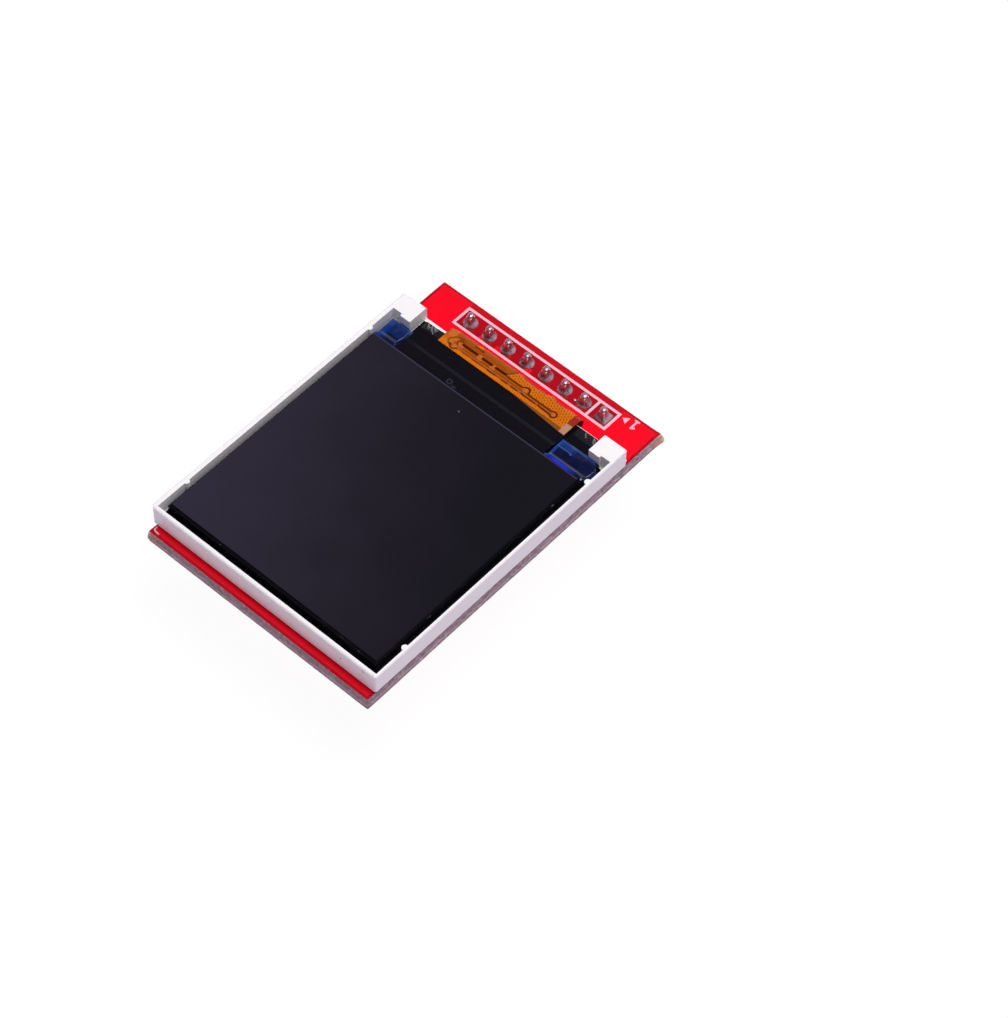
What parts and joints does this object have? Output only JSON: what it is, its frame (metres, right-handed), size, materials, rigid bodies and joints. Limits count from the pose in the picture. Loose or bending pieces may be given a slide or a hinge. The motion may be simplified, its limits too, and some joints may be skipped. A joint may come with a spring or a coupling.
{
  "type": "tft display module",
  "caption": "Small colour TFT display on a red circuit board, with its glass in a white moulded tray, a folded amber flex tail and a single-row pin header soldered on the back.",
  "frame": {"origin": "middle of the pin row, in the face of the header's plastic that seats on a host board", "axes": "+X along the pin row, +Y towards the end of the board that carries the pins, +Z out of the picture side of the glass"},
  "size_m": [0.0297, 0.0429, 0.0128],
  "materials": {
    "solder_mask": "glass-fibre board under red solder mask, satin gloss",
    "white_ink": "white printed ink, slightly tinted by the mask",
    "header_plastic": "black moulded header plastic",
    "pin_metal": "plated brass pins",
    "solder": "tin solder, satin bright",
    "white_plastic": "white moulded polycarbonate, fine satin",
    "adhesive": "double-sided adhesive sheet",
    "white_film": "white plastic film",
    "clear_acrylic": "clear acrylic light guide",
    "clear_film": "prismatic plastic film",
    "black_tape": "black adhesive tape, low sheen",
    "polarizer_film": "dark anti-glare polarizer film",
    "panel_glass": "thin panel glass over a black mask",
    "silicon": "bare driver chip",
    "flex_base": "dark amber polyimide flex",
    "flex_amber": "amber polyimide cover over copper traces",
    "flex_pad": "pale stiffener pad",
    "blue_glue": "dark blue cured sealant",
    "led_body": "white LED housing with a yellow phosphor window",
    "chip_plastic": "black moulded package with tinned leads",
    "capacitor_ceramic": "tan ceramic with tinned ends",
    "resistor_ceramic": "black glazed top on ceramic, tinned ends"
  },
  "bodies": {
    "root": {"board": "solder_mask", "pin_box_print": "white_ink", "header_body": "header_plastic", "header_pin_1": "pin_metal", "header_pin_2": "pin_metal", "header_pin_3": "pin_metal", "header_pin_4": "pin_metal", "header_pin_5": "pin_metal", "header_pin_6": "pin_metal", "header_pin_7": "pin_metal", "header_pin_8": "pin_metal", "solder_joint_1": "solder", "solder_joint_2": "solder", "solder_joint_3": "solder", "solder_joint_4": "solder", "solder_joint_5": "solder", "solder_joint_6": "solder", "solder_joint_7": "solder", "solder_joint_8": "solder", "lcd_tray": "white_plastic", "adhesive_sheet": "adhesive", "reflector_sheet": "white_film", "light_guide": "clear_acrylic", "diffuser_film": "white_film", "lower_prism_film": "clear_film", "upper_prism_film": "clear_film", "rim_tape": "black_tape", "rear_polarizer": "polarizer_film", "lower_glass": "panel_glass", "upper_glass": "panel_glass", "front_polarizer": "polarizer_film", "driver_chip": "silicon", "ledge_tape": "black_tape", "flex_tail": "flex_base", "flex_cover": "flex_amber", "flex_pad": "flex_pad", "flex_solder": "solder", "glue_left": "blue_glue", "glue_right": "blue_glue", "led_strip": "flex_amber", "backlight_led_1": "led_body", "backlight_led_2": "led_body", "backlight_led_3": "led_body", "regulator": "chip_plastic", "capacitor_1": "capacitor_ceramic", "capacitor_2": "capacitor_ceramic", "resistor_1": "resistor_ceramic", "resistor_2": "resistor_ceramic"}
  },
  "joints": []
}
